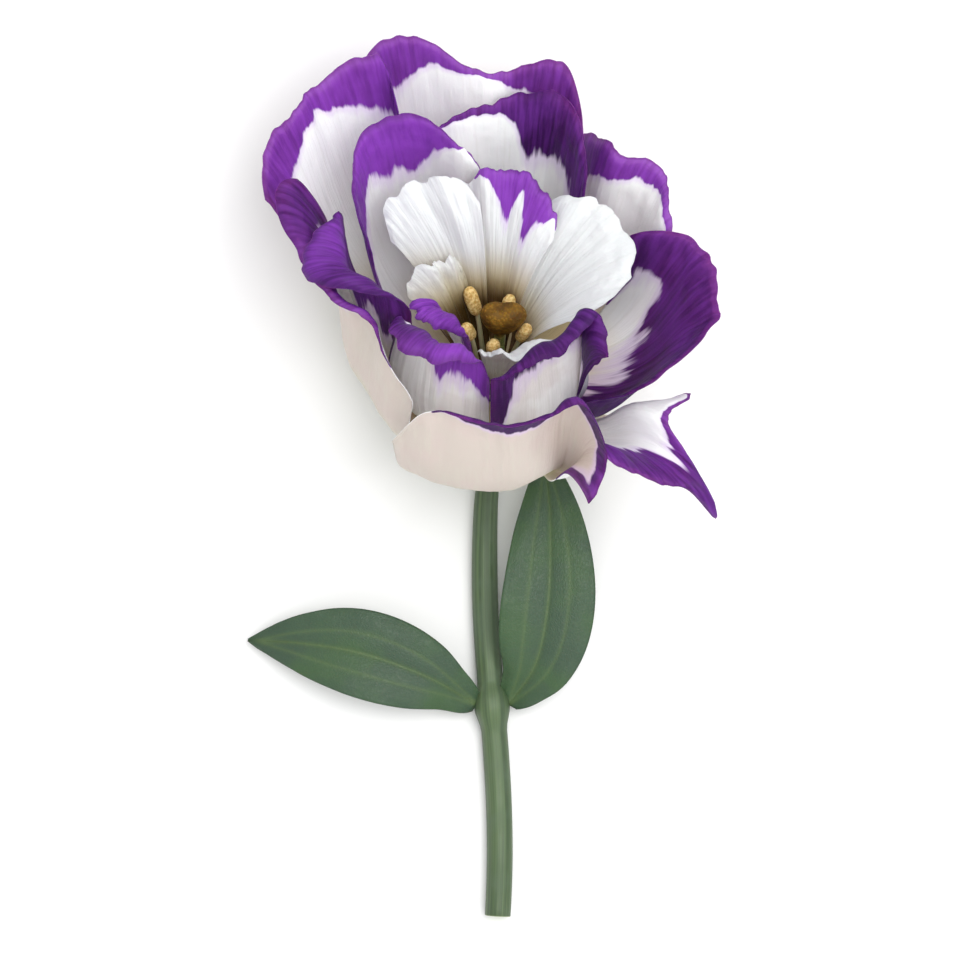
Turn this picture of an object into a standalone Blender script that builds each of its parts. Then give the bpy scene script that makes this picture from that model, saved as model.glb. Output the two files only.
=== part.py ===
"""Double lisianthus flower with its cut stem, laid down: petals, sepals, stamens, pistil, stem and leaves.

Lengths are in millimetres and angles in degrees, and turned into metres as each mesh is made. The flower
has an axis of its own, tilted up from the table. A place on the flower is an angle round that axis (0 to
the right, 90 towards the table), a radius from the axis and a height along it, which starts at the seat
of the middle petals. A direction in a petal's profile is measured from the axis, 90 being straight out.
"""

import bmesh
import bpy
from math import atan2, cos, pi, radians, sin
from mathutils import Matrix, Vector

MM = 0.001

# ---- driving dimensions ----
AXIS_TILT = 60.0  # flower axis above the table
FLOWER_BASE = Vector((1.8, 14.7, 7.0))
TABLE_GAP = 0.02  # under the lowest petal
BELLY_SOFTENING = 0.8  # how gently a petal flattens where it lies on the table

PETAL_THICKNESS = 0.45
PETAL_CELLS = (8, 12)  # across, along
CORNER_ROUNDING = 0.12  # share of a petal's length lost at its corners
CLAW_SHARE = 0.38  # share of a petal's length over which it spreads from its claw
RUFFLE = 0.35

SEPAL_LENGTH = 11.5
SEPAL_HALF_WIDTH = 1.5
SEPAL_TIP_HALF_WIDTH = 0.15
SEPAL_THICKNESS = 0.6
SEPAL_BASE = (4.7, -1.7)  # radius, height
SEPAL_DIRECTION = 88.0
SEPAL_CURVE = 10.0  # how much further forward its tip points
SEPAL_KEEL = 0.35
FIRST_SEPAL_TURN = 54

RECEPTACLE = ((1.1, 1.3), (0.7, 1.8), (-0.6, 3.1), (-1.9, 4.4), (-2.6, 4.3))  # height, radius
STEM_RADIUS = 1.9
STEM_NECK_RADIUS = 1.6  # just behind the flower
STEM_FLARE = 2.6  # how much wider the stem is where it joins the receptacle
BEND_STEPS = 7
STEM_SWAY = 1.1
STEM_TO_NODE = 41.0  # along the table, from the bend to the pair of leaves
NODE_SWELLING = 0.75
NODE_HALF_LENGTH = 3.2
STEM_STATIONS = (5, 11, 18, 25, 32, 36, 39, 41, 43, 46, 52, 59, 66, 71)

LEAF_THICKNESS = 0.6
LEAF_WAVE = 0.35
LEAF_TIP_HALF_WIDTH = 0.2
# Midrib points from the node, half width, and fold upwards from the midrib.
LEAVES = {
    "leaf_right": {
        "midrib": ((3.3, 0.6, 0.2), (7.6, 6.5, 3.8), (8.4, 16.0, 5.2), (8.2, 27.0, 4.6), (7.4, 37.0, 2.8)),
        "half_width": 6.6, "fold": 14.0,
    },
    "leaf_left": {
        "midrib": ((-2.8, 0.8, 0.6), (-10.0, 4.5, 3.8), (-18.5, 7.6, 4.4), (-27.0, 9.0, 2.8), (-35.0, 9.4, -0.6)),
        "half_width": 6.2, "fold": 12.0,
    },
}

FILAMENT = ((1.75, 1.15), (2.1, 3.2), (2.4, 6.0), (2.7, 9.0), (3.1, 12.0))  # radius, height
FILAMENT_RADIUS = 0.32
ANTHER = ((0.4, 0.8), (1.5, 0.95), (2.7, 0.8), (3.3, 0.3))  # past the filament, radius
FIRST_STAMEN_TURN = 127
STAMEN_SPREADS = (1.3, 1.0, 1.0, 1.0, 1.0)  # how much further out each one leans at its tip

PISTIL_PROFILE = ((0.0, 17.2), (0.9, 17.0), (0.7, 14.0), (0.75, 10.5), (1.2, 7.5), (1.45, 4.8), (1.3, 2.4),
                  (0.9, 1.5), (0.0, 1.5))  # radius, height, tip to foot
PISTIL_LEAN = Vector((1.5, -0.9, 17.8))  # the stigma's place: to the right, towards the table, along the axis
LOBE_SIZE = Vector((1.75, 2.3, 1.6))  # half sizes across, front to back and along the axis
LOBE_SPREAD = 1.4
WHORL_COUNT = 5  # sepals and stamens each stand in fives
WHORL_STEP = 360 / WHORL_COUNT

AXIS = Vector((0.0, cos(radians(AXIS_TILT)), sin(radians(AXIS_TILT))))
FACE_DOWN = Vector((0.0, sin(radians(AXIS_TILT)), -cos(radians(AXIS_TILT))))
RIGHT = Vector((1.0, 0.0, 0.0))

# Where each whorl starts on the receptacle, the direction it starts in and how full its profile is.
WHORLS = {
    "outer": {"radius": 4.1, "height": -0.6, "start": 84, "claw": 23, "fullness": (0.60, 0.40)},
    "middle": {"radius": 3.3, "height": 0.0, "start": 79, "claw": 23, "fullness": (0.55, 0.39)},
    "inner": {"radius": 2.5, "height": 0.6, "start": 13, "claw": 22, "fullness": (0.50, 0.34)},
}

# Each petal's margin runs from its clockwise edge to the other one: angle, radius, height, direction.
# A rim is a strip past that margin, with its width and the angle that it curls back through.
PETALS = {
    "outer_petal_1": {
        "whorl": "outer", "turn": 137, "start": 86, "edges": (-1.2, 1.0),
        "margin": ((116, 32, 30, 20), (117, 36, 35, 25), (132, 36, 35, 25), (144, 36, 34, 25),
                   (157, 37, 31, 40)),
    },
    "outer_petal_2": {
        "whorl": "outer", "turn": 87, "start": 88,
        "margin": ((62, 30, 29, 25), (72, 33, 34, 30), (82, 30, 35, 25), (92, 28, 35, 20), (104, 34, 36, 25),
                   (113, 38, 36, 25), (121, 38, 33, 25)),
    },
    "outer_petal_3": {
        "whorl": "outer", "turn": 33, "start": 86,
        "margin": ((13, 26, 22, 25), (22, 27, 29, 25), (34, 28, 30, 30), (50, 26, 30, 30), (66, 31, 25, 25)),
    },
    "outer_petal_4": {
        "whorl": "outer", "turn": -33, "start": 83, "fullness": (0.6, 0.4), "edges": (0.6, 1.0),
        "margin": ((-60, 25, 22, 60), (-58, 32, 21, 90), (-51, 37, 19.5, 95), (-45, 39, 19, 95),
                   (-36, 33, 22, 75), (-24, 32, 24, 45)),
        "rim": (0, 0, 1, 1, 1, 3, 9, 4, 1, 0, 0), "curl": (0, 0, 40, 50, 60, 80, 90, 80, 40, 0, 0),
    },
    "outer_petal_5": {
        "whorl": "outer", "turn": -90, "claw": 27, "start": 82, "fullness": (0.64, 0.4), "edges": (1.0, 1.0),
        "margin": ((-122, 25, 24, 0), (-110, 26, 33, 0), (-94, 28, 35, 8), (-84, 29, 36, 12), (-73, 28, 36, 20),
                   (-65, 28, 36, 30), (-64, 31, 30, 60), (-67, 32, 24, 95)),
        "rim": (0.5, 1, 1.5, 1.5, 1.5, 2, 6, 12), "curl": (60, 60, 80, 80, 80, 80, 60, 60),
    },
    "outer_petal_6": {
        "whorl": "outer", "turn": -160, "start": 83, "fullness": (0.72, 0.42), "edges": (-1.0, -0.8),
        "margin": ((-206, 31, 31, 40), (-191, 26, 30, 35), (-170, 21.5, 28, 15), (-155, 18.5, 26, 0),
                   (-124, 20, 24, -12)),
        "rim": (6, 4.5, 3, 2, 1), "curl": (80, 85, 85, 80, 60),
    },
    "middle_petal_1": {
        "whorl": "middle", "turn": 130, "edges": (-1.0, -1.2),
        "margin": ((93, 18, 29, 5), (104, 20, 32, 10), (118, 26, 33, 20), (136, 26, 33, 20), (146, 24, 32, 15),
                   (160, 20, 29, 10)),
    },
    "middle_petal_2": {
        "whorl": "middle", "turn": 76,
        "margin": ((47, 20, 29, 10), (58, 24, 32, 20), (71, 28, 33, 25), (84, 26, 33, 20), (98, 24, 33, 20),
                   (113, 23, 32, 10)),
    },
    "middle_petal_3": {
        "whorl": "middle", "turn": -7, "edges": (0.8, 0.8),
        "margin": ((-49, 20, 22, 20), (-35, 27, 26, 30), (-18, 31, 28, 35), (-6, 31, 30, 35), (6, 29, 31, 30),
                   (22, 21, 30, 20)),
    },
    "middle_petal_4": {
        "whorl": "middle", "turn": -63, "fullness": (0.6, 0.4), "edges": (1.0, -1.2),
        "margin": ((-91, 16, 27, 0), (-76, 15, 28, 0), (-56, 14, 28, 0), (-31, 14, 29, 0), (-40, 18, 27, 20),
                   (-41, 21, 25, 30)),
        "rim": (6, 5, 5, 5, 4, 3), "curl": (110, 120, 120, 120, 80, 60),
    },
    "middle_petal_5": {
        "whorl": "middle", "turn": -119, "fullness": (0.6, 0.4), "edges": (1.0, -1.2),
        "margin": ((-157, 13, 25, -10), (-139, 14, 27, -10), (-122, 14, 27, -10), (-106, 14, 27, -10),
                   (-92, 14, 24, -10)),
        "rim": (5, 8, 8, 6, 2), "curl": (110, 125, 125, 110, 80),
    },
    "middle_petal_6": {
        "whorl": "middle", "turn": 185, "fullness": (0.5, 0.4), "edges": (1.2, -1.2),
        "margin": ((155, 22, 30, 0), (171, 21, 30, 5), (181, 20, 29, 10), (189, 17, 28, 10), (202, 13.5, 27, 5)),
        "rim": (3, 6, 8, 6.5, 3), "curl": (60, 90, 115, 115, 100),
    },
    "inner_petal_1": {
        "whorl": "inner", "turn": 119, "claw": 21, "start": 17, "edges": (-1.0, 1.9),
        "margin": ((99, 15, 30, 55), (114, 16, 30, 60), (126, 18, 29, 55), (138, 19, 28, 50), (149, 18, 27, 45)),
    },
    "inner_petal_2": {
        "whorl": "inner", "turn": 71, "claw": 20,
        "margin": ((40, 14, 27, 45), (58, 15, 29, 50), (72, 16, 30, 50), (85, 16, 30, 50), (98, 16.5, 29, 50),
                   (108, 16.5, 26, 45)),
    },
    "inner_petal_3": {
        "whorl": "inner", "turn": 19, "claw": 23, "edges": (-1.0, 1.2),
        "margin": ((-16, 14, 22, 40), (-6, 18, 25, 55), (5, 20, 27, 60), (23, 20, 28, 55), (37, 19.5, 28, 50),
                   (49, 17.5, 28, 50), (64, 16.5, 27, 45)),
    },
    "inner_petal_4": {
        "whorl": "inner", "turn": -61, "claw": 25, "edges": (-0.3, 1.0),
        "margin": ((-108, 8, 20, 25), (-88, 10, 22, 40), (-70, 11, 23, 40), (-46, 11, 23, 40), (-24, 12, 21, 30)),
    },
    "inner_petal_5": {
        "whorl": "inner", "turn": -127, "claw": 25,
        "margin": ((-168, 9, 23, 15), (-156, 8.5, 24, 10), (-138, 7.5, 24, 10), (-116, 6.5, 22, 10)),
        "rim": (3, 5.5, 6, 4), "curl": (70, 100, 100, 80),
    },
    "inner_petal_6": {
        "whorl": "inner", "turn": 173, "claw": 22, "start": 17, "edges": (-0.5, 1.0),
        "margin": ((123, 9, 21, 25), (132, 9, 22, 25), (146, 9.5, 22, 25), (158, 11, 23, 35),
                   (174, 12, 22, 30)),
    },
}


# ---- placing ----
def on_flower(angle, radius, height):
    """The point in millimetres at an angle in radians, a radius and a height on the flower."""
    return FLOWER_BASE + RIGHT * radius * cos(angle) + FACE_DOWN * radius * sin(angle) + AXIS * height


def smooth(t):
    t = min(max(t, 0.0), 1.0)
    return t * t * (3 - 2 * t)


def through(values, t):
    """A smooth curve through evenly spaced values, read at t from 0 to 1."""
    last = len(values) - 1
    place = min(max(t, 0.0), 1.0) * last
    i = min(int(place), last - 1)
    f = place - i
    here, there = values[i], values[i + 1]
    before = values[i - 1] if i > 0 else 2 * here - there
    after = values[i + 2] if i + 2 <= last else 2 * there - here
    slope_here, slope_there = (there - before) / 2, (after - here) / 2
    return (
        (2 * f**3 - 3 * f**2 + 1) * here
        + (f**3 - 2 * f**2 + f) * slope_here
        + (3 * f**2 - 2 * f**3) * there
        + (f**3 - f**2) * slope_there
    )


# ---- objects ----
def material(name, colour, roughness):
    made = bpy.data.materials.new(name)
    made.use_nodes = True
    shader = made.node_tree.nodes["Principled BSDF"]
    shader.inputs["Base Color"].default_value = (*colour, 1.0)
    shader.inputs["Roughness"].default_value = roughness
    shader.inputs["Metallic"].default_value = 0.0
    return made


def add_object(name, data, finish):
    made = bpy.data.objects.new(name, data)
    flower.objects.link(made)
    data.materials.append(finish)
    return made


def sheet(name, cells, place, thickness, finish):
    """A closed sheet: a grid whose points go to place(u, v), u from -1 to 1 across and v from 0 to 1 along."""
    across, along = cells
    bm = bmesh.new()
    bmesh.ops.create_grid(bm, x_segments=across, y_segments=along, size=1.0)
    for vertex in bm.verts:
        vertex.co = place(vertex.co.x, (vertex.co.y + 1) / 2) * MM
    mesh = bpy.data.meshes.new(name)
    bm.to_mesh(mesh)
    bm.free()
    mesh.shade_smooth()
    made = add_object(name, mesh, finish)
    skin = made.modifiers.new("thickness", "SOLIDIFY")
    skin.thickness = thickness * MM
    skin.offset = 0.0
    return made


def rod(name, points, radii, finish, resolution=3):
    """A round rod through points, with a radius at each."""
    curve = bpy.data.curves.new(name, "CURVE")
    curve.dimensions = "3D"
    curve.bevel_depth = MM
    curve.bevel_resolution = resolution
    curve.use_fill_caps = True
    spline = curve.splines.new("POLY")
    spline.points.add(len(points) - 1)
    for spot, point, radius in zip(spline.points, points, radii):
        spot.co = (*(point * MM), 1.0)
        spot.radius = radius
    return add_object(name, curve, finish)


# ---- petals ----
def petal_profile(petal, across):
    """The points (radius, height) from claw to rim at a place across the petal, and the margin's angle."""
    whorl = WHORLS[petal["whorl"]]
    angles, radii, heights, leans = zip(*petal["margin"])
    radius, height = through(radii, across), through(heights, across)
    lean = radians(through(leans, across))
    start = radians(petal.get("start", whorl["start"]))
    near, far = petal.get("fullness", whorl["fullness"])
    first = Vector((whorl["radius"], whorl["height"]))
    last = Vector((radius, height))
    span = (last - first).length
    handle_1 = first + Vector((sin(start), cos(start))) * span * near
    handle_2 = last - Vector((sin(lean), cos(lean))) * span * far
    line = []
    for step in range(61):
        t = step / 60
        s = 1 - t
        line.append(first * s**3 + handle_1 * 3 * s * s * t + handle_2 * 3 * s * t * t + last * t**3)
    rim = max(0.0, through(petal.get("rim", (0, 0)), across))
    curl = radians(through(petal.get("curl", (0, 0)), across))
    if rim > 0.01:
        for step in range(16):
            turned = lean + curl * (step + 0.5) / 16
            line.append(line[-1] + Vector((sin(turned), cos(turned))) * rim / 16)
    return line, radians(through(angles, across))


def petal_point(petal, u, v):
    """The point of a petal at u across (-1 to 1) and v along (0 at the claw, 1 at the rim)."""
    across = (u + 1) / 2
    line, margin_angle = petal_profile(petal, across)
    runs = [0.0]
    for here, there in zip(line, line[1:]):
        runs.append(runs[-1] + (there - here).length)
    along = (1 - (1 - v) ** 1.5) * (1 - CORNER_ROUNDING * abs(u) ** 5)
    wanted = along * runs[-1]
    i = max(k for k in range(len(runs) - 1) if runs[k] <= wanted or k == 0)
    point = line[i].lerp(line[i + 1], (wanted - runs[i]) / (runs[i + 1] - runs[i]))
    tangent = line[min(i + 2, len(line) - 1)] - line[max(i - 1, 0)]
    direction = atan2(tangent.x, tangent.y)

    whorl = WHORLS[petal["whorl"]]
    claw_angle = radians(petal["turn"] + u * petal.get("claw", whorl["claw"]))
    angle = claw_angle + (margin_angle - claw_angle) * smooth(along / CLAW_SHARE)
    under, over = petal.get("edges", (-1.0, 1.0))
    outward = (under if u < 0 else over) * u * u * smooth((along - 0.01) / 0.28)
    outward += RUFFLE * sin(5 * pi * across) * smooth((along - 0.4) / 0.6) ** 1.5
    radius = point.x + outward * cos(direction)
    height = point.y - outward * sin(direction)
    return lift_off_table(on_flower(angle, radius, height), PETAL_THICKNESS)


def lift_off_table(point, thickness):
    """Flattens a belly that would sink into the table."""
    floor = thickness / 2 + TABLE_GAP
    soft = BELLY_SOFTENING
    if point.z < floor + soft:
        sunk = max(0.0, (point.z - floor + soft) / (2 * soft))
        point.z = floor + soft * sunk * sunk
    return point


# ---- build ----
for old in list(bpy.data.objects):
    bpy.data.objects.remove(old)

flower = bpy.data.collections.new("lisianthus_flower")
bpy.context.scene.collection.children.link(flower)

PETAL_FINISH = {
    "outer": material("petal_outer", (0.80, 0.74, 0.80), 0.6),
    "middle": material("petal_middle", (0.52, 0.32, 0.68), 0.6),
    "inner": material("petal_inner", (0.86, 0.85, 0.82), 0.6),
}
for petal_name, petal_shape in PETALS.items():
    sheet(
        petal_name,
        PETAL_CELLS,
        lambda u, v, shape=petal_shape: petal_point(shape, u, v),
        PETAL_THICKNESS,
        PETAL_FINISH[petal_shape["whorl"]],
    )

# Sepals: five narrow green blades that clasp the outer petals, none of them under the flower's belly.
SEPAL_FINISH = material("sepal", (0.16, 0.28, 0.12), 0.55)


def sepal_point(turn, u, v):
    lean = radians(SEPAL_DIRECTION - SEPAL_CURVE * v)
    radius = SEPAL_BASE[0] + SEPAL_LENGTH * v * sin(lean)
    height = SEPAL_BASE[1] + SEPAL_LENGTH * v * cos(lean)
    facing = radians(SEPAL_DIRECTION - 2 * SEPAL_CURVE * v)
    keel = SEPAL_KEEL * u * u
    centre = on_flower(radians(turn), radius + keel * cos(facing), height - keel * sin(facing))
    sideways = RIGHT * -sin(radians(turn)) + FACE_DOWN * cos(radians(turn))
    half_width = SEPAL_HALF_WIDTH * (1 - v**1.6) + SEPAL_TIP_HALF_WIDTH
    return centre + sideways * half_width * u


for number in range(WHORL_COUNT):
    sepal_turn = FIRST_SEPAL_TURN - WHORL_STEP * number
    sheet(
        f"sepal_{number + 1}",
        (4, 8),
        lambda u, v, turn=sepal_turn: sepal_point(turn, u, v),
        SEPAL_THICKNESS,
        SEPAL_FINISH,
    )

# Stem: the receptacle's cone, which carries every petal, then the bend and the run along the table.
STEM_FINISH = material("stem", (0.20, 0.32, 0.14), 0.5)
tilt = radians(AXIS_TILT)
stem_points = [FLOWER_BASE + AXIS * height for height, radius in RECEPTACLE]
stem_radii = [radius for height, radius in RECEPTACLE]
bend_start = stem_points[-1]
bend_radius = (bend_start.z - STEM_RADIUS) / (1 - cos(tilt))
for step in range(1, BEND_STEPS + 1):
    left = tilt * (1 - step / BEND_STEPS)
    behind = bend_radius * (sin(tilt) - sin(left))
    fall = bend_radius * (cos(left) - cos(tilt))
    stem_points.append(bend_start - Vector((0.0, behind, fall)))
    stem_radii.append(STEM_NECK_RADIUS + STEM_FLARE * (1 - step / BEND_STEPS) ** 2.2)
bend_end = stem_points[-1].copy()


def stem_sway(along):
    """How far the lying stem wanders sideways, at a distance behind the bend."""
    return -STEM_SWAY * sin(pi * along / STEM_TO_NODE) * smooth(along / 12.0)


def stem_swell(along):
    """The stem's radius: slender behind the flower, with a swollen node where the leaves stand."""
    node = NODE_SWELLING * max(0.0, 1 - abs(along - STEM_TO_NODE) / NODE_HALF_LENGTH)
    return STEM_NECK_RADIUS + (STEM_RADIUS - STEM_NECK_RADIUS) * smooth(along / 25.0) + node


for along in STEM_STATIONS:
    lift = max(0.0, stem_swell(along) - STEM_RADIUS)
    stem_points.append(bend_end + Vector((stem_sway(along), -along, lift)))
    stem_radii.append(stem_swell(along))
rod("stem", stem_points, stem_radii, STEM_FINISH)

# Leaves: a pair of pointed ovals from the node, folded along the midrib and arched.
LEAF_FINISH = material("leaf", (0.14, 0.27, 0.13), 0.5)
NODE_POINT = bend_end + Vector((stem_sway(STEM_TO_NODE), -STEM_TO_NODE, 0.6))


def leaf_point(leaf, u, v):
    xs, ys, zs = zip(*leaf["midrib"])
    here = Vector((through(xs, v), through(ys, v), through(zs, v)))
    ahead = Vector((through(xs, v + 0.02), through(ys, v + 0.02), 0.0))
    behind = Vector((through(xs, v - 0.02), through(ys, v - 0.02), 0.0))
    sideways = (ahead - behind).normalized().cross(Vector((0.0, 0.0, 1.0)))
    half_width = leaf["half_width"] * max(0.0, sin(pi * v**0.9)) ** 0.9 + LEAF_TIP_HALF_WIDTH
    fold = radians(leaf["fold"]) * (1 - 0.6 * abs(u))
    wave = LEAF_WAVE * sin(7 * v + 1.5 * u) * u * u
    rise = half_width * abs(u) * sin(fold) + wave
    return NODE_POINT + here + sideways * (half_width * u * cos(fold)) + Vector((0.0, 0.0, rise))


for leaf_name, leaf_shape in LEAVES.items():
    sheet(
        leaf_name,
        (6, 12),
        lambda u, v, shape=leaf_shape: leaf_point(shape, u, v),
        LEAF_THICKNESS,
        LEAF_FINISH,
    )

# Stamens: a filament that leans out of the receptacle and ends in a long anther.
STAMEN_FINISH = material("stamen", (0.80, 0.52, 0.12), 0.6)
for number, spread in enumerate(STAMEN_SPREADS):
    turn = radians(FIRST_STAMEN_TURN - WHORL_STEP * number)
    points = []
    for radius, height in FILAMENT:
        lean = 1 + (spread - 1) * height / FILAMENT[-1][1]
        points.append(on_flower(turn, radius * lean, height))
    radii = [FILAMENT_RADIUS] * len(points)
    onward = (points[-1] - points[-2]).normalized()
    filament_end = points[-1].copy()
    for past, radius in ANTHER:
        points.append(filament_end + onward * past)
        radii.append(radius)
    rod(f"stamen_{number + 1}", points, radii, STAMEN_FINISH, resolution=2)

# Pistil: a turned ovary and style, with the two stigma lobes joined to its tip.
PISTIL_FINISH = material("pistil", (0.52, 0.36, 0.10), 0.6)
profile = bmesh.new()
corners = [profile.verts.new((radius * MM, 0.0, height * MM)) for radius, height in PISTIL_PROFILE]
for here, there in zip(corners, corners[1:]):
    profile.edges.new((here, there))
pistil_mesh = bpy.data.meshes.new("pistil")
profile.to_mesh(pistil_mesh)
profile.free()
pistil = add_object("pistil", pistil_mesh, PISTIL_FINISH)
pistil_direction = RIGHT * PISTIL_LEAN.x + FACE_DOWN * PISTIL_LEAN.y + AXIS * PISTIL_LEAN.z
upright = Vector((0.0, 0.0, 1.0))
pistil.matrix_world = Matrix.LocRotScale(
    FLOWER_BASE * MM, upright.rotation_difference(pistil_direction), (1.0, 1.0, 1.0)
)
turning = pistil.modifiers.new("turning", "SCREW")
turning.steps = turning.render_steps = 12
turning.use_merge_vertices = True
turning.merge_threshold = 0.00001

cutters = bpy.data.collections.new("cutters")
bpy.context.scene.collection.children.link(cutters)
for side in (-1, 1):
    bm = bmesh.new()
    bmesh.ops.create_uvsphere(bm, u_segments=12, v_segments=8, radius=MM)
    lobe_mesh = bpy.data.meshes.new(f"stigma_lobe_{side}")
    for vertex in bm.verts:
        vertex.co *= LOBE_SIZE
        vertex.co += Vector((side * LOBE_SPREAD, 0.0, PISTIL_LEAN.z)) * MM
    bm.to_mesh(lobe_mesh)
    bm.free()
    lobe = bpy.data.objects.new(lobe_mesh.name, lobe_mesh)
    cutters.objects.link(lobe)
    lobe.matrix_world = pistil.matrix_world.copy()
    lobe.hide_render = True
    lobe.display_type = "WIRE"
    joining = pistil.modifiers.new(f"lobe {side}", "BOOLEAN")
    joining.operation = "UNION"
    joining.object = lobe
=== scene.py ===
"""The looks of a double lisianthus bloom on a short cut stem, laid on a pale floor.

Every piece is a fine mesh that stands for its plain solid in the frame. Lengths in the tables are in
millimetres and angles in degrees. A place on the flower is an angle round its axis (0 to the right, 90
towards the table), a radius from the axis and a height along it, from the seat of the middle petals.
"""

from bisect import bisect_right
from functools import cache
from math import atan2, cos, exp, log, pi, radians, sin

import bmesh
import bpy
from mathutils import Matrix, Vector, noise


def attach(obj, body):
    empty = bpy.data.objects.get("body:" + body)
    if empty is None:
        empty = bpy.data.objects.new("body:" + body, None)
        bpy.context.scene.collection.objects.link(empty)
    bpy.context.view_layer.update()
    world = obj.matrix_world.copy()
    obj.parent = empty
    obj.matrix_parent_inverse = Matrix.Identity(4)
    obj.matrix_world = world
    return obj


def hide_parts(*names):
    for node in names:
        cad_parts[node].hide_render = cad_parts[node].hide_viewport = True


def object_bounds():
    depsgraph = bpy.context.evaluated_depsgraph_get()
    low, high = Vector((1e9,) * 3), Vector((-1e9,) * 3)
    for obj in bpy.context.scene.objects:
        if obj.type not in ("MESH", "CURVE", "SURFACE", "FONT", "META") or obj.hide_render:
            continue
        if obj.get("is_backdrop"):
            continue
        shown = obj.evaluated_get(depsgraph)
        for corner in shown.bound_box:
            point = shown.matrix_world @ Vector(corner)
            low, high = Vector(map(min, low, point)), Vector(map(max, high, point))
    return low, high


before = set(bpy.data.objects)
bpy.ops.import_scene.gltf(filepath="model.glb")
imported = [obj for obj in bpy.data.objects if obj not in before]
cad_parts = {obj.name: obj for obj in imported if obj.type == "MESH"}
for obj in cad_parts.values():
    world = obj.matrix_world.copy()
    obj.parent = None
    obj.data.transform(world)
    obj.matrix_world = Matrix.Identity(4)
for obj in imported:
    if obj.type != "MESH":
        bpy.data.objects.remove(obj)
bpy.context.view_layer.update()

# ---- Stem ------------------------------------------------------------------------------------------
# The flower's own stalk: a faintly ridged green rod, cut square at its far end. It swells at the node that
# bears the leaves, bends up behind the flower and widens into the receptacle that all the rest grows on.

MM = 0.001
AXIS_TILT = radians(60)
FLOWER_BASE = Vector((1.8, 14.7, 7.0))
AXIS = Vector((0.0, cos(AXIS_TILT), sin(AXIS_TILT)))
FACE_DOWN = Vector((0.0, sin(AXIS_TILT), -cos(AXIS_TILT)))
RIGHT = Vector((1.0, 0.0, 0.0))

STEM_RADIUS = 1.9
STEM_NECK_RADIUS = 1.6
STEM_FLARE = 2.6
STEM_TO_NODE = 41.0
STEM_TO_CUT = 71.0
STEM_SWAY = 1.1
SWAY_START = 12.0  # the run over which the sway sets in
NECK_LENGTH = 25.0
NODE_SWELLING = 0.75
NODE_HALF_LENGTH = 3.6
BEND_STEPS = 14
STEM_STEPS = 78
STEM_SIDES = 40
RIDGES = 5
RIDGE_HEIGHT = 0.022  # shares of the radius
STEM_ROUGHNESS = 0.018
RECEPTACLE = ((1.1, 0.5), (1.05, 1.3), (0.7, 1.85), (0.0, 2.5), (-0.7, 3.2), (-1.4, 3.95), (-1.9, 4.35),
              (-2.3, 4.4), (-2.6, 4.3))
CUT_RINGS = ((0.0, 1.0), (0.12, 0.94), (0.05, 0.8), (-0.15, 0.66), (-0.2, 0.4), (-0.3, 0.15))  # past, share


def smooth(t):
    t = min(max(t, 0.0), 1.0)
    return t * t * (3 - 2 * t)


def through(values, t):
    """A smooth curve through evenly spaced values, read at t from 0 to 1."""
    last = len(values) - 1
    place = min(max(t, 0.0), 1.0) * last
    i = min(int(place), last - 1)
    f = place - i
    here, there = values[i], values[i + 1]
    before = values[i - 1] if i > 0 else 2 * here - there
    after = values[i + 2] if i + 2 <= last else 2 * there - here
    leaving, arriving = (there - before) / 2, (after - here) / 2
    early = (2 * f**3 - 3 * f**2 + 1) * here + (f**3 - 2 * f**2 + f) * leaving
    return early + (3 * f**2 - 2 * f**3) * there + (f**3 - f**2) * arriving


def on_flower(angle, radius, height):
    """The point at an angle in radians, a radius and a height on the flower."""
    return FLOWER_BASE + RIGHT * radius * cos(angle) + FACE_DOWN * radius * sin(angle) + AXIS * height


def grown(name, cells, place, traits=(), closed=False):
    """A mesh from a grid: place(u, v) gives the point and the traits at u from -1 to 1, v from 0 to 1."""
    bm = bmesh.new()
    bm.loops.layers.uv.new("UVMap")
    for trait in traits:
        bm.verts.layers.float.new(trait)
    bmesh.ops.create_grid(bm, x_segments=cells[0], y_segments=cells[1], size=1.0, calc_uvs=True)
    for vertex in bm.verts:
        point, values = place(vertex.co.x, (vertex.co.y + 1) / 2)
        for trait in traits:
            vertex[bm.verts.layers.float[trait]] = values[trait]
        vertex.co = point * MM
    if closed:
        bmesh.ops.remove_doubles(bm, verts=bm.verts, dist=1e-7)
        bmesh.ops.holes_fill(bm, edges=[edge for edge in bm.edges if edge.is_boundary], sides=0)
        bmesh.ops.recalc_face_normals(bm, faces=bm.faces)
    mesh = bpy.data.meshes.new(name)
    bm.to_mesh(mesh)
    bm.free()
    mesh.shade_smooth()
    return mesh


def tube(name, rings, sides, surface, traits=()):
    """A closed tube through rings (centre, direction, radius); surface(turn, i) gives a share and traits."""
    fronts = []
    across = rings[0][1].orthogonal().normalized()
    for centre, direction, radius in rings:
        across = (across - direction * across.dot(direction)).normalized()
        fronts.append((across.copy(), direction.cross(across)))

    def place(u, v):
        i = round(v * (len(rings) - 1))
        centre, direction, radius = rings[i]
        share, values = surface(pi * u, i)
        first, second = fronts[i]
        return centre + (first * cos(pi * u) + second * sin(pi * u)) * radius * share, values

    return grown(name, (sides, len(rings) - 1), place, traits, closed=True)


def add_piece(mesh, node, slot, *materials):
    """The object that stands for a solid of the frame and rides with it."""
    piece = bpy.data.objects.new(node + "_grown", mesh)
    bpy.context.scene.collection.objects.link(piece)
    for finish in materials:
        mesh.materials.append(finish)
    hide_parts(node)
    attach(piece, "root")
    return piece


def new_material(name, **sockets):
    """A Principled material with plain values on its own sockets."""
    made = bpy.data.materials.new(name)
    made.use_nodes = True
    shader = made.node_tree.nodes["Principled BSDF"]
    for socket, value in sockets.items():
        shader.inputs[socket.replace("_", " ").title().replace("Ior", "IOR")].default_value = value
    return made


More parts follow.
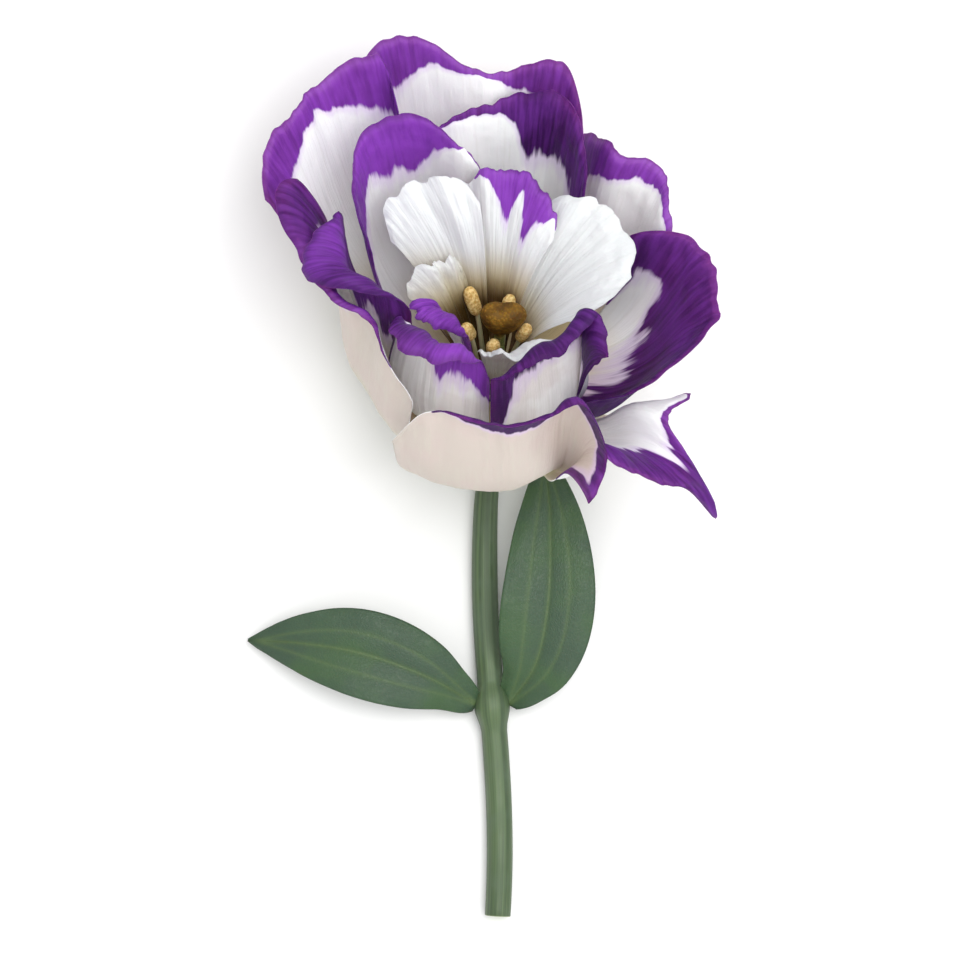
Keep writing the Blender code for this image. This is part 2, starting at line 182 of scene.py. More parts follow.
def add_node(material, kind, sockets=None, **settings):
    """A node of a kind, with links or values for its sockets by name or number; gives its first output."""
    made = material.node_tree.nodes.new("ShaderNode" + kind)
    for setting, value in settings.items():
        setattr(made, setting, value)
    for socket, value in (sockets or {}).items():
        if isinstance(value, bpy.types.NodeSocket):
            material.node_tree.links.new(value, made.inputs[socket])
        else:
            made.inputs[socket].default_value = value
    return next(output for output in made.outputs if output.enabled)


def trait_value(material, trait):
    """A trait of the mesh, stored on its points."""
    made = material.node_tree.nodes.new("ShaderNodeAttribute")
    made.attribute_name = trait
    return made.outputs["Fac"]


def surface_place(material, scale, source="UV"):
    """The piece's own coordinates, stretched by a scale."""
    made = material.node_tree.nodes.new("ShaderNodeTexCoord")
    return add_node(material, "Mapping", {"Vector": made.outputs[source], "Scale": scale})


def grain(material, place, scale, detail=2.0):
    """Soft noise between about 0.3 and 0.7."""
    return add_node(material, "TexNoise", {"Vector": place, "Scale": scale, "Detail": detail})


def sums(material, operation, a, b, c=0.0):
    return add_node(material, "Math", {0: a, 1: b, 2: c}, operation=operation)


def spread(material, value, low, high, to_low=0.0, to_high=1.0, style="SMOOTHSTEP"):
    """Carries a value from one range to another, held at both ends."""
    sockets = {"Value": value, "From Min": low, "From Max": high, "To Min": to_low, "To Max": to_high}
    return add_node(material, "MapRange", sockets, interpolation_type=style)


def blend_colours(material, amount, first, second):
    made = material.node_tree.nodes.new("ShaderNodeMix")
    made.data_type = "RGBA"
    for number, value in ((0, amount), (6, first), (7, second)):
        if isinstance(value, bpy.types.NodeSocket):
            material.node_tree.links.new(value, made.inputs[number])
        else:
            made.inputs[number].default_value = value if number == 0 else (*value, 1.0)
    return made.outputs[2]


def finish_material(material, colour, height=None, bump=0.1, roughness=None):
    """Links a colour, a roughness and a bump in millimetres to the material's shader."""
    shader = material.node_tree.nodes["Principled BSDF"]
    material.node_tree.links.new(colour, shader.inputs["Base Color"])
    if roughness is not None:
        material.node_tree.links.new(roughness, shader.inputs["Roughness"])
    if height is not None:
        sockets = {"Height": height, "Strength": 1.0, "Distance": bump * MM}
        material.node_tree.links.new(add_node(material, "Bump", sockets), shader.inputs["Normal"])


STEM_GREEN = (0.036, 0.066, 0.026)
STEM_PALE = (0.085, 0.135, 0.055)
STEM_WAX = (0.085, 0.125, 0.075)
CUT_GREEN = (0.42, 0.50, 0.26)

stem_finish = new_material("stem_skin", roughness=0.5, subsurface_weight=0.06, subsurface_scale=0.0006)
fibres = grain(stem_finish, surface_place(stem_finish, (26.0, 2.2, 1.0)), 1.0, 4.0)
clouds = grain(stem_finish, surface_place(stem_finish, (1.0, 1.0, 1.0), "Object"), 160.0)
green = blend_colours(stem_finish, spread(stem_finish, fibres, 0.35, 0.7), STEM_GREEN, STEM_PALE)
green = blend_colours(stem_finish, spread(stem_finish, clouds, 0.45, 0.7, 0.0, 0.55), green, STEM_WAX)
green = blend_colours(stem_finish, trait_value(stem_finish, "pale"), green, CUT_GREEN)
finish_material(stem_finish, green, fibres, 0.10, spread(stem_finish, clouds, 0.3, 0.7, 0.42, 0.62))


def stem_radius(along):
    swelling = NODE_SWELLING * smooth(1 - abs(along - STEM_TO_NODE) / NODE_HALF_LENGTH)
    return STEM_NECK_RADIUS + (STEM_RADIUS - STEM_NECK_RADIUS) * smooth(along / NECK_LENGTH) + swelling


def stem_place(along):
    sway = -STEM_SWAY * sin(pi * along / STEM_TO_NODE) * smooth(along / SWAY_START)
    return bend_end + Vector((sway, -along, max(0.0, stem_radius(along) - STEM_RADIUS)))


stem_rings = [(on_flower(0.0, 0.0, height), -AXIS, radius) for height, radius in RECEPTACLE]
bend_start = stem_rings[-1][0]
bend_radius = (bend_start.z - STEM_RADIUS) / (1 - cos(AXIS_TILT))
for step in range(1, BEND_STEPS + 1):
    left = AXIS_TILT * (1 - step / BEND_STEPS)
    behind = bend_radius * (sin(AXIS_TILT) - sin(left))
    fall = bend_radius * (cos(left) - cos(AXIS_TILT))
    heading = Vector((0.0, -cos(left), -sin(left)))
    radius = STEM_NECK_RADIUS + STEM_FLARE * (1 - step / BEND_STEPS) ** 2.2
    stem_rings.append((bend_start - Vector((0.0, behind, fall)), heading, radius))
bend_end = stem_rings[-1][0].copy()
for step in range(1, STEM_STEPS + 1):
    along = STEM_TO_CUT * step / STEM_STEPS
    heading = (stem_place(along + 0.5) - stem_place(along - 0.5)).normalized()
    stem_rings.append((stem_place(along), heading, stem_radius(along)))
cut_centre, cut_heading, cut_radius = stem_rings[-1]
first_cut_ring = len(stem_rings)
for past, share in CUT_RINGS[1:]:
    stem_rings.append((cut_centre + cut_heading * past, cut_heading, cut_radius * share))


def stem_surface(turn, i):
    """The stem's ridges and unevenness, which fade towards the receptacle, and its pale cut."""
    lying = smooth((i - len(RECEPTACLE)) / 20) * (i < first_cut_ring)
    ridge = RIDGE_HEIGHT * lying * cos(RIDGES * turn + 0.02 * i)
    rough = STEM_ROUGHNESS * lying * noise.noise(Vector((2.0 * cos(turn), 2.0 * sin(turn), 0.12 * i)))
    return 1.0 - RIDGE_HEIGHT * lying + ridge + rough, {"pale": 0.85 if i >= first_cut_ring else 0.0}


stem_mesh = tube("stem", stem_rings, STEM_SIDES, stem_surface, ("pale",))
add_piece(stem_mesh, "stem", "stem", stem_finish)

# ---- Leaves ----------------------------------------------------------------------------------------
# A pair of stalkless oval leaves from the node, folded a little along the midrib. They are thick and
# smooth, dark blue-green under a waxy bloom, with three main veins sunk into the face.

LEAF_THICKNESS = 0.5
LEAF_CELLS = (36, 72)
LEAF_RISE = 0.6  # how far the pair's foot stands above the middle of the stem
LEAF_BASE_WIDTH = 1.0
VEIN_DEPTH = 0.16
MIDRIB_WIDTH = 0.35
SIDE_VEIN_WIDTH = 0.28
LEAF_DARK = (0.018, 0.046, 0.020)
LEAF_LIGHT = (0.040, 0.086, 0.034)
LEAF_WAX = (0.062, 0.104, 0.070)
LEAF_VEIN = (0.085, 0.135, 0.050)
LEAVES = {
    "leaf_right": {
        "midrib": ((2.4, 0.2, 0.2), (6.2, 6.2, 3.6), (8.0, 15.5, 5.2), (8.2, 27.0, 4.6), (7.4, 37.0, 2.8)),
        "half_width": 6.6, "fold": 14.0,
    },
    "leaf_left": {
        "midrib": ((-2.3, 0.3, 0.5), (-9.6, 4.4, 3.8), (-18.5, 7.6, 4.4), (-27.0, 9.0, 2.8),
                   (-35.0, 9.4, -0.6)),
        "half_width": 6.2, "fold": 12.0,
    },
}
leaf_node = stem_place(STEM_TO_NODE).copy()
leaf_node.z = STEM_RADIUS + LEAF_RISE


def leaf_finish(name, waxy):
    """A leaf's skin: mottled green with a net of fine veins and a share of wax."""
    finish = new_material(name, roughness=0.5, specular_ior_level=0.35, subsurface_weight=0.05,
                          subsurface_scale=0.0006)
    net = add_node(finish, "TexVoronoi", {"Vector": surface_place(finish, (34.0, 76.0, 1.0)), "Scale": 1.0},
                   feature="DISTANCE_TO_EDGE")
    clouds = grain(finish, surface_place(finish, (1.0, 1.0, 1.0), "Object"), 130.0, 4.0)
    cells = grain(finish, surface_place(finish, (1.0, 1.0, 1.0), "Object"), 2600.0)
    green = blend_colours(finish, spread(finish, clouds, 0.35, 0.65), LEAF_DARK, LEAF_LIGHT)
    green = blend_colours(finish, spread(finish, net, 0.0, 0.12, 0.16, 0.0), green, LEAF_VEIN)
    green = blend_colours(finish, spread(finish, clouds, 0.7, 0.4, 0.0, waxy), green, LEAF_WAX)
    veined = sums(finish, "MULTIPLY", trait_value(finish, "vein"), 0.8)
    green = blend_colours(finish, veined, green, LEAF_VEIN)
    relief = sums(finish, "MULTIPLY_ADD", cells, 0.25, spread(finish, net, 0.0, 0.25, 0.0, 0.5))
    finish_material(finish, green, relief, 0.05, spread(finish, cells, 0.3, 0.7, 0.42, 0.58))
    return finish


def leaf_place(leaf, u, v):
    """The point of a leaf at u across and v along its midrib, with its traits."""
    xs, ys, zs = zip(*leaf["midrib"])
    here = Vector((through(xs, v), through(ys, v), through(zs, v)))
    ahead = Vector((through(xs, v + 0.02), through(ys, v + 0.02), 0.0))
    behind = Vector((through(xs, v - 0.02), through(ys, v - 0.02), 0.0))
    sideways = (ahead - behind).normalized().cross(Vector((0.0, 0.0, 1.0)))
    half = leaf["half_width"] * max(0.0, sin(pi * v**0.9)) ** 0.9 + 0.15
    half += LEAF_BASE_WIDTH * (1 - smooth(v / 0.15))
    fold = radians(leaf["fold"]) * (1 - 0.6 * abs(u))
    wave = 0.35 * sin(7 * v + 1.5 * u) * u * u + 0.3 * u * u * noise.noise(Vector((3 * u, 9 * v, half)))
    side_vein = 0.46 * sin(pi * min(v * 1.02, 1.0)) ** 0.35
    veins = exp(-((u * half / MIDRIB_WIDTH) ** 2))
    veins += 0.6 * exp(-(((abs(u) - side_vein) * half / SIDE_VEIN_WIDTH) ** 2))
    sunk = VEIN_DEPTH * veins * smooth(v * 12) * smooth((1 - v) * 8)
    rise = half * abs(u) * sin(fold) + wave - sunk
    point = leaf_node + here + sideways * (half * u * cos(fold)) + Vector((0.0, 0.0, rise))
    flesh = smooth((1 - abs(u)) * half / 1.5) * 0.6 + 0.4
    return point, {"vein": veins * smooth((1 - v) * 10), "flesh": flesh}


def thicken(piece, thickness, backs=True):
    """Gives a sheet its flesh, thinner where the trait says, with the second material on its other face."""
    flesh = piece.vertex_groups.new(name="flesh")
    for i, amount in enumerate(piece.data.attributes["flesh"].data):
        flesh.add((i,), amount.value, "REPLACE")
    skin = piece.modifiers.new("flesh", "SOLIDIFY")
    skin.thickness = thickness * MM
    skin.offset = 0.0
    skin.vertex_group = flesh.name
    if backs:
        skin.material_offset = 1
        skin.material_offset_rim = 1
    return skin


leaf_face = leaf_finish("leaf_face", 0.4)
leaf_back = leaf_finish("leaf_back", 0.8)
for leaf_name, leaf_shape in LEAVES.items():
    leaf_mesh = grown(leaf_name, LEAF_CELLS, lambda u, v, leaf=leaf_shape: leaf_place(leaf, u, v),
                      ("vein", "flesh"))
    thicken(add_piece(leaf_mesh, leaf_name, "leaf", leaf_face, leaf_back), LEAF_THICKNESS)

# ---- Calyx -----------------------------------------------------------------------------------------
# Five narrow keeled sepals that clasp the back of the bloom, each a green blade with paler, thin margins.
# They grow from the rim of the receptacle.

SEPALS = 5
FIRST_SEPAL_TURN = 54
SEPAL_CELLS = (16, 36)
SEPAL_LENGTH = 11.5
SEPAL_HALF_WIDTH = 1.5
SEPAL_THICKNESS = 0.55
SEPAL_BASE = (4.7, -1.7)  # radius, height
SEPAL_MARGIN = (0.32, 0.38, 0.2)

sepal_finish = new_material("sepal_skin", roughness=0.5, subsurface_weight=0.06, subsurface_scale=0.0006)
stripes = grain(sepal_finish, surface_place(sepal_finish, (12.0, 2.0, 1.0)), 1.0, 3.0)
blade = blend_colours(sepal_finish, spread(sepal_finish, stripes, 0.35, 0.65), STEM_GREEN, STEM_PALE)
blade = blend_colours(sepal_finish, trait_value(sepal_finish, "margin"), blade, SEPAL_MARGIN)
finish_material(sepal_finish, blade, stripes, 0.08)


def sepal_place(turn, u, v):
    """The point of the sepal at a turn, u across and v along, with its traits."""
    lean = radians(88 - 10 * v)
    facing = radians(88 - 20 * v)
    keel = 0.35 * u * u - 0.28 * exp(-((u / 0.16) ** 2)) * (1 - v)
    radius = SEPAL_BASE[0] + SEPAL_LENGTH * v * sin(lean) + keel * cos(facing)
    height = SEPAL_BASE[1] + SEPAL_LENGTH * v * cos(lean) - keel * sin(facing)
    sideways = RIGHT * -sin(turn) + FACE_DOWN * cos(turn)
    half = SEPAL_HALF_WIDTH * (1 - v**1.6) + 0.12
    point = on_flower(turn, radius, height) + sideways * half * u
    return point, {"margin": smooth((abs(u) - 0.6) / 0.4), "flesh": 1.0 - 0.55 * abs(u) ** 3}


for number in range(SEPALS):
    sepal_name = f"sepal_{number + 1}"
    sepal_turn = radians(FIRST_SEPAL_TURN - 360 / SEPALS * number)
    sepal_mesh = grown(sepal_name, SEPAL_CELLS, lambda u, v, turn=sepal_turn: sepal_place(turn, u, v),
                       ("margin", "flesh"))
    thicken(add_piece(sepal_mesh, sepal_name, "sepal", sepal_finish), SEPAL_THICKNESS, False)

# ---- Petals ----------------------------------------------------------------------------------------
# Three rings of six soft petals, each a thin sheet that narrows to a claw on the receptacle and spreads
# into a ruffled blade. White, with cream backs on the outer ring and a feathered violet border at the margin.

PETAL_CELLS = (80, 96)
PETAL_THICKNESS = 0.36
RUFFLE = 0.6  # the broad waves towards the margin
CRINKLE = 0.35  # finer waves on them
PLEATING = 0.13  # fine folds along the petal
PUCKER = 0.12  # the finest unevenness across it
FLUTES = 5
FLUTE_DEPTH = 0.35
LIP = 0.3  # how far the very margin turns out
LIP_WIDTH = 1.6
NIBBLES = (1.2, 0.45)  # how far the margin is bitten in, coarse and fine
CLAW_SHARE = 0.38  # of the petal's length, over which it leaves the angle of its seat
PROFILE_STEPS = 60
RIM_STEPS = 24
DEPTH_SPAN = 30  # the height at which the throat's colours would end
TABLE_CLEARANCE = 0.245  # from the table to the middle of a petal's thickness
TABLE_EASE = 0.8  # how high above that a petal starts to yield to the table

# Each ring's seat on the receptacle, the tilt its petals start at, half the angle a claw takes, how full
# the profile is near the seat and near the margin, and the colours of the two faces. The outer and middle
# faces are painted whiter, a painted light in the hollows they line, and the inner face greyer, painted
# darker where the light falls full on it.
WHORLS = {
    "outer": {"radius": 4.1, "height": -0.6, "start": 84, "claw": 23, "fullness": (0.60, 0.40),
              "face": (0.93, 0.93, 0.935), "back": (0.59, 0.52, 0.465)},
    "middle": {"radius": 3.3, "height": 0.0, "start": 79, "claw": 23, "fullness": (0.55, 0.39),
               "face": (0.94, 0.94, 0.945), "back": (0.88, 0.85, 0.83)},
    "inner": {"radius": 2.5, "height": 0.6, "start": 13, "claw": 22, "fullness": (0.50, 0.34),
              "face": (0.78, 0.79, 0.80), "back": (0.84, 0.83, 0.80)},
}

# A margin runs from the clockwise edge to the other one: angle, radius, height and lean from the axis. A
# rim is a strip past it, of a width and a curl back. A band and the sides are how deep the violet border
# reaches in from the margin and the two edges. Tone is 0 for deep and 1 for bright violet, edges are how
# far the two edges turn outwards, and pale brings the white of the face further down the throat, taking
# back its yellow and its painted shade on petals that the light falls into.
PETALS = {
    "outer_petal_1": {
        "turn": 137, "start": 86, "edges": (-1.2, 1),
        "margin": ((116, 32, 30, 20), (117, 36, 35, 25), (132, 36, 35, 25), (144, 36, 34, 25),
                   (157, 37, 31, 40)),
        "band": (9, 10, 9.5, 4, 4.2, 7, 8), "sides": (3, 4), "tone": (0.8, 0.75, 0.7, 0.7),
    },
    "outer_petal_2": {
        "turn": 87, "start": 88,
        "margin": ((62, 30, 29, 25), (72, 33, 34, 30), (82, 30, 35, 25), (92, 28, 35, 20),
                   (104, 34, 36, 25), (113, 38, 36, 25), (121, 38, 33, 25)),
        "band": (9, 8.5, 4, 0.6, 3.4, 7.5, 9), "sides": (9, 6), "tone": (0.3, 0.4, 0.6, 0.75, 0.75),
    },
    "outer_petal_3": {
        "turn": 33, "start": 86,
        "margin": ((13, 26, 22, 25), (22, 27, 29, 25), (34, 28, 30, 30), (50, 26, 30, 30),
                   (66, 31, 25, 25)),
        "band": (1.2, 1.5, 2.8, 5.5, 7.5), "sides": (1, 5), "tone": (0.75, 0.8, 0.8, 0.6),
    },
    "outer_petal_4": {
        "turn": -33, "start": 83, "fullness": (0.6, 0.4), "edges": (0.6, 1),
        "margin": ((-60, 25, 22, 60), (-58, 32, 21, 90), (-51, 37, 19.5, 95), (-45, 39, 19, 95),
                   (-38, 31, 21.5, 75), (-27, 33.5, 23, 50)),
        "rim": (0, 0, 0, 0, 0, 0, 0, 0.5, 1, 1, 1, 3, 9, 3, 0.5, 0, 0, 0, 0, 0, 0),
        "curl": (0, 0, 40, 50, 60, 80, 90, 80, 40, 0, 0),
        "band": (3, 4, 6, 8, 9.5, 10.5, 11, 2.5, 0.9, 0.7, 0.6), "sides": (5, 0.6),
        "tone": (0.5, 0.35, 0.4, 0.2),
    },
    "outer_petal_5": {
        "turn": -90, "start": 82, "claw": 27, "fullness": (0.64, 0.4), "edges": (1, 2.4),
        "margin": ((-122, 25, 24, 0), (-110, 26, 33, 0), (-94, 28, 35, 8), (-84, 29, 36, 12),
                   (-73, 28, 36, 20), (-65, 28, 36, 28), (-63, 31, 30, 36), (-69, 31.5, 24, 58)),
        "rim": (0.5, 1, 1.5, 1.5, 1.5, 2, 5, 12), "curl": (60, 60, 80, 80, 80, 80, 75, 80),
        "band": (0, 0, 3.4, 4.2, 4.2, 4, 4, 4), "sides": (0, 1.5), "tone": (0.1, 0.0, 0.0, 0.1, 0.2),
    },
    "outer_petal_6": {
        "turn": -160, "start": 83, "fullness": (0.72, 0.42), "edges": (-1, -0.8),
        "margin": ((-206, 31, 31, 40), (-191, 26, 30, 35), (-170, 21.5, 28, 15), (-155, 18.5, 26, 0),
                   (-124, 20, 24, -12)),
        "rim": (6, 4.5, 3, 2, 1), "curl": (80, 85, 85, 80, 60),
        "band": (8, 8, 5, 1, 0), "sides": (3, 0), "tone": (0.3, 0.35, 0.4, 0.3),
    },
    "middle_petal_1": {
        "turn": 130, "edges": (-1, -1.2),
        "margin": ((93, 18, 29, 5), (104, 20, 32, 10), (118, 26, 33, 20), (136, 26, 33, 20),
                   (146, 24, 32, 15), (160, 20, 29, 10)),
        "band": (0.4, 0.4, 0.6, 5, 11.5, 10, 7, 9, 11, 12, 12), "sides": (0.3, 6),
        "tone": (0.9, 0.95, 0.9, 0.7),
    },
    "middle_petal_2": {
        "turn": 76,
        "margin": ((47, 20, 29, 10), (58, 24, 32, 20), (71, 28, 33, 25), (84, 26, 33, 20),
                   (98, 24, 33, 20), (113, 23, 32, 10)),
        "band": (8, 8, 9, 10, 12.5, 12, 4, 1.5, 1, 0.8, 0.8), "sides": (5, 0.8),
        "tone": (0.35, 0.2, 0.2, 0.35),
    },
    "middle_petal_3": {
        "turn": -7, "edges": (0.8, 0.8),
        "margin": ((-49, 20, 22, 20), (-35, 27, 26, 30), (-18, 31, 28, 35), (-6, 31, 30, 35),
                   (6, 29, 31, 30), (22, 21, 30, 20)),
        "band": (30, 32, 32, 30, 27, 25, 26, 26, 17, 10, 6), "sides": (30, 2),
        "tone": (0.15, 0.2, 0.3, 0.4, 0.35),
    },
    "middle_petal_4": {
        "turn": -63, "fullness": (0.6, 0.4), "edges": (1, -1.2),
        "margin": ((-91, 16, 27, 0), (-76, 15, 28, 0), (-56, 14, 28, 0), (-31, 14, 29, 0),
                   (-40, 18, 27, 20), (-41, 21, 25, 30)),
        "rim": (6, 5, 5, 5, 4, 3), "curl": (110, 120, 120, 120, 80, 60),
        "band": (6, 6.5, 8.5, 9, 10.5, 9, 6), "sides": (4.2, 5), "tone": (0.0, 0.0, 0.05, 0.15),
    },
    "middle_petal_5": {
        "turn": -119, "fullness": (0.6, 0.4), "edges": (1, -1.2),
        "margin": ((-157, 13, 25, -10), (-139, 14, 27, -10), (-122, 14, 27, -10), (-106, 14, 27, -10),
                   (-92, 14, 24, -10)),
        "rim": (5, 8, 8, 6, 2), "curl": (110, 125, 125, 110, 80),
        "band": (3, 5, 12, 11.5, 6), "sides": (1, 0), "tone": (0.23, 0.33, 0.83, 0.93),
    },
    "middle_petal_6": {
        "turn": 185, "fullness": (0.5, 0.4), "edges": (1.2, -1.2),
        "margin": ((155, 22, 30, 0), (171, 21, 30, 5), (181, 20, 29, 10), (189, 17, 28, 10),
                   (202, 13.5, 27, 5)),
        "rim": (3, 5.5, 9, 9.5, 4), "curl": (60, 95, 135, 130, 105),
        "band": (5, 9, 17, 19, 15), "sides": (4, 6), "tone": (0.68, 0.53, 0.38, 0.23),
    },
    "inner_petal_1": {
        "turn": 119, "start": 17, "claw": 21, "edges": (-1, 1.9),
        "margin": ((99, 15, 30, 55), (114, 16, 30, 60), (126, 18, 29, 55), (138, 19, 28, 50),
                   (149, 18, 27, 45)),
        "band": (0, 0), "sides": (0, 0), "tone": (0.5, 0.5),
    },
    "inner_petal_2": {
        "turn": 71, "claw": 20,
        "margin": ((40, 14, 27, 45), (58, 15, 29, 50), (72, 16, 30, 50), (85, 16, 30, 50),
                   (98, 16.5, 29, 50), (108, 16.5, 26, 45)),
        "band": (0, 1, 5, 7.8, 2.5, 7, 5, 1.8, 0.4, 0, 0), "sides": (0, 0), "tone": (0.9, 0.9, 0.9),
    },
    "inner_petal_3": {
        "turn": 19, "claw": 23, "edges": (-1, 1.2), "pale": 0.16,
        "margin": ((-16, 14, 22, 40), (-6, 18, 25, 55), (5, 20, 27, 60), (23, 20, 28, 55),
                   (37, 19.5, 28, 50), (49, 17.5, 28, 50), (64, 16.5, 27, 45)),
        "band": (0, 0), "sides": (0, 0), "tone": (0.5, 0.5),
    },
    "inner_petal_4": {
        "turn": -61, "claw": 25, "edges": (-0.3, 1), "pale": 0.12,
        "margin": ((-108, 8, 20, 25), (-88, 10, 22, 40), (-70, 11, 23, 40), (-46, 11, 23, 40),
                   (-24, 12, 21, 30)),
        "band": (0, 0), "sides": (0, 0), "tone": (0.5, 0.5),
    },
    "inner_petal_5": {
        "turn": -127, "claw": 25,
        "margin": ((-168, 9, 23, 15), (-156, 8.5, 24, 10), (-138, 7.5, 24, 10), (-116, 6.5, 22, 10)),
        "rim": (3, 5.5, 6, 4), "curl": (70, 100, 100, 80),
        "band": (6, 7, 7, 6), "sides": (4, 4), "tone": (0.8, 0.85, 0.9),
    },
    "inner_petal_6": {
        "turn": 173, "start": 17, "claw": 22, "edges": (-0.5, 1),
        "margin": ((123, 9, 21, 25), (132, 9, 22, 25), (146, 9.5, 22, 25), (158, 11, 23, 35),
                   (174, 12, 22, 30)),
        "band": (0, 0), "sides": (0, 0), "tone": (0.5, 0.5),
    },
}


@cache
def petal_line(name, across):
    """A petal's profile at a place across it: its points, the run to each, and the margin's angle."""
    petal = PETALS[name]
    whorl = WHORLS[name.split("_")[0]]
    angles, radii, heights, leans = zip(*petal["margin"])
    lean = radians(through(leans, across))
    start = radians(petal.get("start", whorl["start"]))
    near, far = petal.get("fullness", whorl["fullness"])
    first = Vector((whorl["radius"], whorl["height"]))
    last = Vector((through(radii, across), through(heights, across)))
    span = (last - first).length
    leaving = first + Vector((sin(start), cos(start))) * span * near
    arriving = last - Vector((sin(lean), cos(lean))) * span * far
    line = []
    for step in range(PROFILE_STEPS + 1):
        t = step / PROFILE_STEPS
        s = 1 - t
        line.append(first * s**3 + leaving * 3 * s * s * t + arriving * 3 * s * t * t + last * t**3)
    rim = max(0.0, through(petal.get("rim", (0, 0)), across))
    curl = radians(through(petal.get("curl", (0, 0)), across))
    if rim > 0.01:
        for step in range(RIM_STEPS):
            turned = lean + curl * (step + 0.5) / RIM_STEPS
            line.append(line[-1] + Vector((sin(turned), cos(turned))) * rim / RIM_STEPS)
    runs = [0.0]
    for here, there in zip(line, line[1:]):
        runs.append(runs[-1] + (there - here).length)
    return line, runs, radians(through(angles, across))


def petal_spot(name, u, v):
    """A petal's point at u across and v along, how far along it is, how far from the rim, and its height."""
    petal = PETALS[name]
    whorl = WHORLS[name.split("_")[0]]
    seed = 7.3 * list(PETALS).index(name)
    across = (u + 1) / 2
    line, runs, margin_angle = petal_line(name, round(across, 5))
    length = runs[-1]
    nibble = NIBBLES[0] * noise.noise(Vector((across * 9, seed, 0.0)))
    nibble += NIBBLES[1] * noise.noise(Vector((across * 27, seed, 4.0)))
    reach = (1 - 0.12 * abs(u) ** 5) * (1 + min(0.0, nibble - 0.3) / length)
    along = (1 - (1 - v) ** 1.5) * reach
    wanted = along * length
    i = min(max(bisect_right(runs, wanted) - 1, 0), len(runs) - 2)
    point = line[i].lerp(line[i + 1], (wanted - runs[i]) / (runs[i + 1] - runs[i]))
    tangent = line[min(i + 2, len(line) - 1)] - line[max(i - 1, 0)]
    direction = atan2(tangent.x, tangent.y)

    claw_angle = radians(petal["turn"] + u * petal.get("claw", whorl["claw"]))
    angle = claw_angle + (margin_angle - claw_angle) * smooth(along / CLAW_SHARE)
    under, over = petal.get("edges", (-1.0, 1.0))
    outward = (under if u < 0 else over) * u * u * smooth((along - 0.01) / 0.28)
    outward += FLUTE_DEPTH * sin(FLUTES * pi * across) * smooth((along - 0.4) / 0.6) ** 1.5
    free = smooth((along - 0.5) / 0.5) ** 1.3
    outward += free * RUFFLE * noise.noise(Vector((across * 6, along * 2.5, seed)))
    outward += free * CRINKLE * noise.noise(Vector((across * 15, along * 8, seed + 3)))
    pleat = noise.noise(Vector((across * 24, along * 2.5, seed + 9)))
    outward += smooth(along / 0.4) * PLEATING * pleat
    outward += free * PUCKER * noise.noise(Vector((across * 14, along * 26, seed + 5)))
    to_rim = reach * length - wanted
    outward += LIP * smooth(1 - to_rim / LIP_WIDTH) ** 2
    radius = point.x + outward * cos(direction)
    height = point.y - outward * sin(direction)
    spot = on_flower(angle, radius, height)
    above = spot.z - TABLE_CLEARANCE
    if above < TABLE_EASE:
        spot.z = TABLE_CLEARANCE + TABLE_EASE * max(0.0, (above + TABLE_EASE) / (2 * TABLE_EASE)) ** 2
    return spot, along, to_rim, height


@cache
def half_width(name, side, v):
    """How far it is over the petal from its midline to one of its sides."""
    spots = [petal_spot(name, side * step / 6, v)[0] for step in range(7)]
    return sum((there - here).length for here, there in zip(spots, spots[1:]))


def petal_place(name, u, v):
    """The point of a petal at u across and v along, with its traits."""
    petal = PETALS[name]
    spot, along, to_rim, height = petal_spot(name, u, v)
    across = (u + 1) / 2
    side = -1 if u < 0 else 1
    to_side = (1 - abs(u)) * half_width(name, side, round(v, 4))
    band = max(0.0, through(petal["band"], across))
    side_band = petal["sides"][0 if u < 0 else 1] * smooth((along - 0.35) / 0.4)
    top = to_rim / max(band, 0.05) + 9 * smooth(1 - band / 0.3)
    flank = to_side / max(side_band, 0.05) + 9 * smooth(1 - side_band / 0.3)
    inked = -log(exp(-4 * min(top, 30)) + exp(-4 * min(flank, 30))) / 4
    traits = {
        "inked": inked,
        "tone": through(petal["tone"], across),
        "depth": height / DEPTH_SPAN + petal.get("pale", 0.0),
        "flesh": 0.4 + 0.6 * smooth(min(to_rim, to_side) / 2.5),
    }
    return spot, traits


BLUSH = (0.62, 0.51, 0.48)
VEIN_SHADE = (0.62, 0.60, 0.50)
FOOT_GREEN = (0.52, 0.54, 0.30)
THROAT_YELLOW = (0.56, 0.46, 0.25)
# Deep in the inner throat: partly the petals' own olive foot, partly painted shade for the dark hollow round
# the stigma.
THROAT_OLIVE_AND_SHADE = (0.085, 0.048, 0.012)
VIOLET_DEEP = (0.036, 0.005, 0.072)
VIOLET_BRIGHT = (0.210, 0.042, 0.400)
LILAC = (0.66, 0.50, 0.80)


